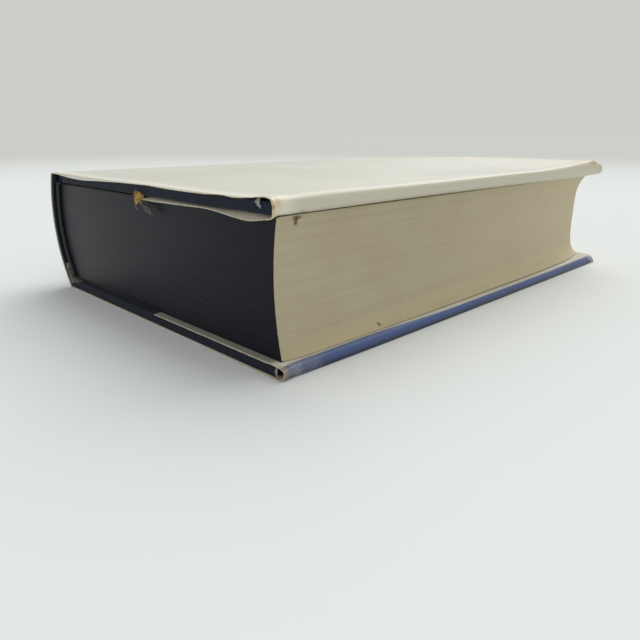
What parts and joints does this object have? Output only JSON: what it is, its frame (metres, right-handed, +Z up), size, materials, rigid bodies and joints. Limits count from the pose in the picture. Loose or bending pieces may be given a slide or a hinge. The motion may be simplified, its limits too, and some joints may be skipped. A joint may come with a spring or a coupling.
{
  "type": "hardback book",
  "caption": "Hardback book in a worn paper jacket, lying on its front cover: rounded cloth spine, dark stained head edge and covers that open on their joints.",
  "frame": {"origin": "bottom centre of the closed book's box, where its front cover lies on the table", "axes": "+X from the spine to the fore edge, +Y from the head to the tail along the spine, +Z up from the front cover to the back cover"},
  "size_m": [0.1656, 0.241, 0.0574],
  "materials": {
    "pages": "matte",
    "endpaper": "matte",
    "gauze": "matte",
    "spine_paper": "matte",
    "band_cloth": "matte",
    "binders_board": "matte",
    "case_cloth": "matte",
    "jacket_cream": "satin",
    "jacket_blue": "satin"
  },
  "bodies": {
    "book_block": {"text_block": "pages", "back_free_endpaper": "endpaper", "front_free_endpaper": "endpaper", "spine_gauze": "gauze", "spine_lining": "spine_paper", "head_band": "band_cloth", "tail_band": "band_cloth", "spine_stiffener": "binders_board", "spine_cloth": "case_cloth", "jacket_spine_panel": "jacket_blue"},
    "back_cover": {"back_board": "binders_board", "back_cover_cloth": "case_cloth", "back_pastedown": "endpaper", "jacket_back_panel": "jacket_cream"},
    "front_cover": {"front_board": "binders_board", "front_cover_cloth": "case_cloth", "front_pastedown": "endpaper", "jacket_front_panel": "jacket_blue"}
  },
  "joints": [
    {"name": "back_cover_joint", "type": "hinge", "parent": "book_block", "child": "back_cover", "pos_m": [-0.06762, 0, 0.0543], "axis": [0, -1, 0], "range_deg": [0, 178]},
    {"name": "front_cover_joint", "type": "hinge", "parent": "book_block", "child": "front_cover", "pos_m": [-0.06762, 0, -0.0003], "axis": [0, 1, 0], "range_deg": [0, 178]}
  ]
}
